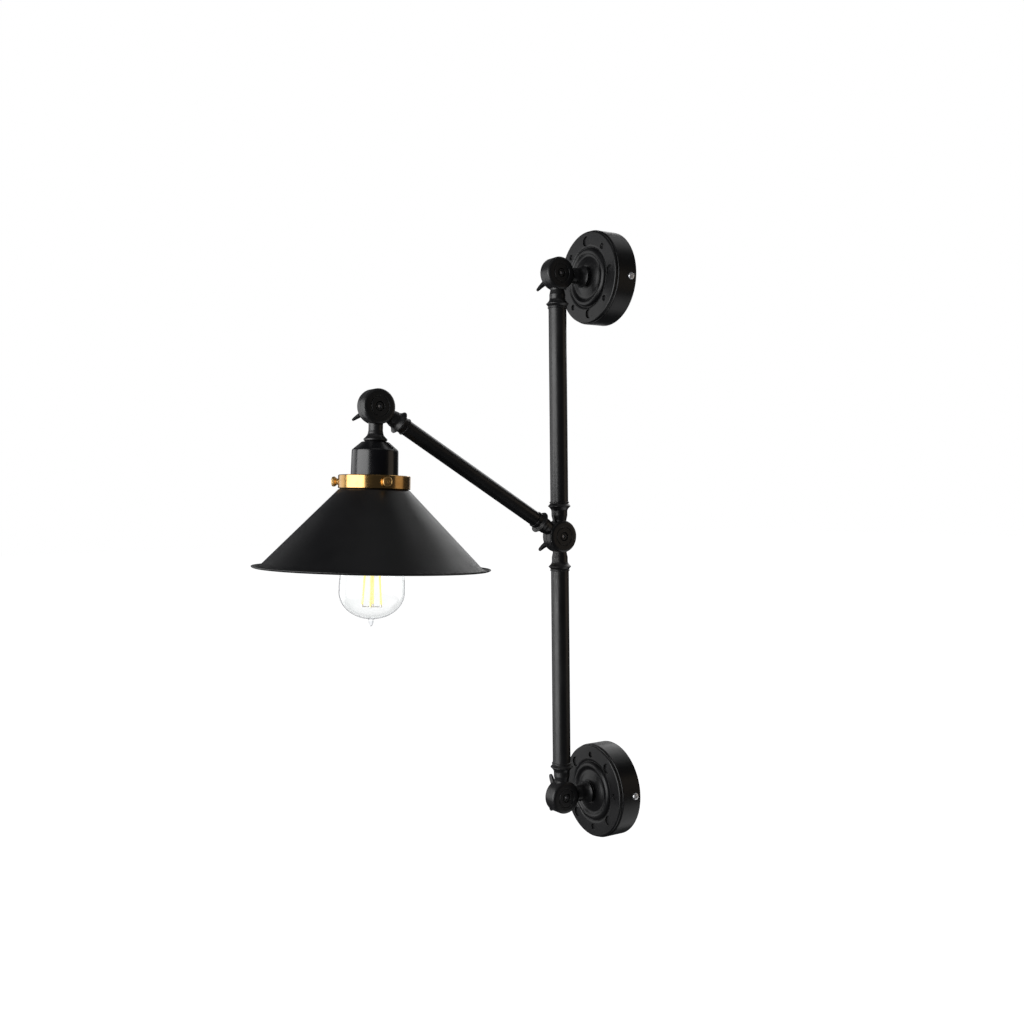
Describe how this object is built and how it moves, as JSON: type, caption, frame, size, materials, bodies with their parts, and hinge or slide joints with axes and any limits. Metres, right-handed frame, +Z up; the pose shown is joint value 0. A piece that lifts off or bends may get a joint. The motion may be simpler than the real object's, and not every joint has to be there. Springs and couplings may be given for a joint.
{
  "type": "swing arm wall sconce",
  "caption": "Wall sconce with an upright mast between round canopies, a pivoting swing arm and a tilting cone shade with a clear filament bulb.",
  "frame": {"origin": "on the wall plane at the centre of the upper canopy, which is the centre of its wall screws", "axes": "+Z up along the mast, -Y out of the wall into the room, +X along the pivot bolts towards their heads"},
  "size_m": [0.22, 0.3878, 0.635],
  "materials": {
    "satin_black": "satin black powder coat over cast and drawn metal",
    "shade_black": "matte black powder coat over spun metal",
    "cup_black": "semi-gloss black powder coat",
    "zinc_steel": "zinc plated steel",
    "green_screw": "green passivated steel",
    "brass": "polished and lacquered brass",
    "contact_brass": "plain sheet brass",
    "porcelain": "glazed porcelain, gloss",
    "clear_glass": "clear blown glass",
    "nickel": "nickel plated brass",
    "black_glass": "black insulating glass",
    "filament": "yellow phosphor coated LED filament"
  },
  "bodies": {
    "upper_bracket": {"upper_canopy": "satin_black", "upper_wall_strap": "zinc_steel", "upper_side_screws": "zinc_steel", "upper_stem_knuckle": "satin_black", "upper_stem_nut": "zinc_steel", "upper_knuckle_washer": "zinc_steel", "upper_ground_screw": "green_screw"},
    "mast": {"upper_mast_knuckle": "satin_black", "upper_mast_tube": "satin_black", "centre_knuckle": "satin_black", "lower_mast_tube": "satin_black", "lower_mast_knuckle": "satin_black", "upper_pivot_bolt": "satin_black", "centre_pivot_bolt": "satin_black", "lower_pivot_bolt": "satin_black"},
    "lower_bracket": {"lower_canopy": "satin_black", "lower_wall_strap": "zinc_steel", "lower_side_screws": "zinc_steel", "lower_stem_knuckle": "satin_black", "lower_stem_nut": "zinc_steel", "lower_knuckle_washer": "zinc_steel"},
    "arm": {"arm_inner_knuckle": "satin_black", "arm_tube": "satin_black", "arm_outer_knuckle": "satin_black", "centre_knuckle_washer": "zinc_steel", "head_pivot_bolt": "satin_black"},
    "head": {"head_knuckle": "satin_black", "head_knuckle_washer": "zinc_steel", "socket_cup": "cup_black", "cup_nut": "zinc_steel", "lamp_holder": "porcelain", "holder_shell": "contact_brass", "holder_contact": "contact_brass", "holder_ring": "porcelain", "gallery_ring": "brass", "shade": "shade_black"},
    "upper_nut": {"upper_wing_nut": "satin_black"},
    "centre_nut": {"centre_wing_nut": "satin_black"},
    "lower_nut": {"lower_wing_nut": "satin_black"},
    "head_nut": {"head_wing_nut": "satin_black"},
    "screw_1": {"thumbscrew_1": "brass"},
    "screw_2": {"thumbscrew_2": "brass"},
    "screw_3": {"thumbscrew_3": "brass"},
    "bulb": {"bulb_glass": "clear_glass", "bulb_cap": "nickel", "bulb_insulator": "black_glass", "bulb_contact": "nickel", "bulb_mount": "clear_glass", "bulb_wires": "nickel", "bulb_filaments": "filament"}
  },
  "joints": [
    {"name": "upper_knuckle", "type": "hinge", "parent": "upper_bracket", "child": "mast", "pos_m": [0, -0.0645, 0], "axis": [1, 0, 0], "range_deg": [-90, 25]},
    {"name": "lower_knuckle", "type": "hinge", "parent": "mast", "child": "lower_bracket", "pos_m": [0, -0.0645, -0.538], "axis": [1, 0, 0], "range_deg": [-90, 25]},
    {"name": "arm_swing", "type": "hinge", "parent": "mast", "child": "arm", "pos_m": [0, -0.0645, -0.269], "axis": [1, 0, 0], "range_deg": [-8, 60]},
    {"name": "head_tilt", "type": "hinge", "parent": "arm", "child": "head", "pos_m": [0, -0.27191, -0.14239], "axis": [1, 0, 0], "range_deg": [-135, 12]},
    {"name": "upper_nut_turn", "type": "hinge", "parent": "mast", "child": "upper_nut", "pos_m": [0, -0.0645, 0], "axis": [1, 0, 0], "continuous": true},
    {"name": "centre_nut_turn", "type": "hinge", "parent": "mast", "child": "centre_nut", "pos_m": [0, -0.0645, -0.269], "axis": [1, 0, 0], "continuous": true},
    {"name": "lower_nut_turn", "type": "hinge", "parent": "mast", "child": "lower_nut", "pos_m": [0, -0.0645, -0.538], "axis": [1, 0, 0], "continuous": true},
    {"name": "head_nut_turn", "type": "hinge", "parent": "arm", "child": "head_nut", "pos_m": [0, -0.27191, -0.14239], "axis": [1, 0, 0], "continuous": true},
    {"name": "screw_1_turn", "type": "hinge", "parent": "head", "child": "screw_1", "pos_m": [0, -0.27473, -0.21259], "axis": [0.989, -0.1477, 0.0059], "continuous": true},
    {"name": "screw_2_turn", "type": "hinge", "parent": "head", "child": "screw_2", "pos_m": [0, -0.27473, -0.21259], "axis": [-0.3665, 0.9297, -0.0373], "continuous": true},
    {"name": "screw_3_turn", "type": "hinge", "parent": "head", "child": "screw_3", "pos_m": [0, -0.27473, -0.21259], "axis": [-0.6225, -0.782, 0.0314], "continuous": true},
    {"name": "bulb_turn", "type": "hinge", "parent": "head", "child": "bulb", "pos_m": [0, -0.27673, -0.2623], "axis": [0, 0.0401, 0.9992], "continuous": true}
  ]
}
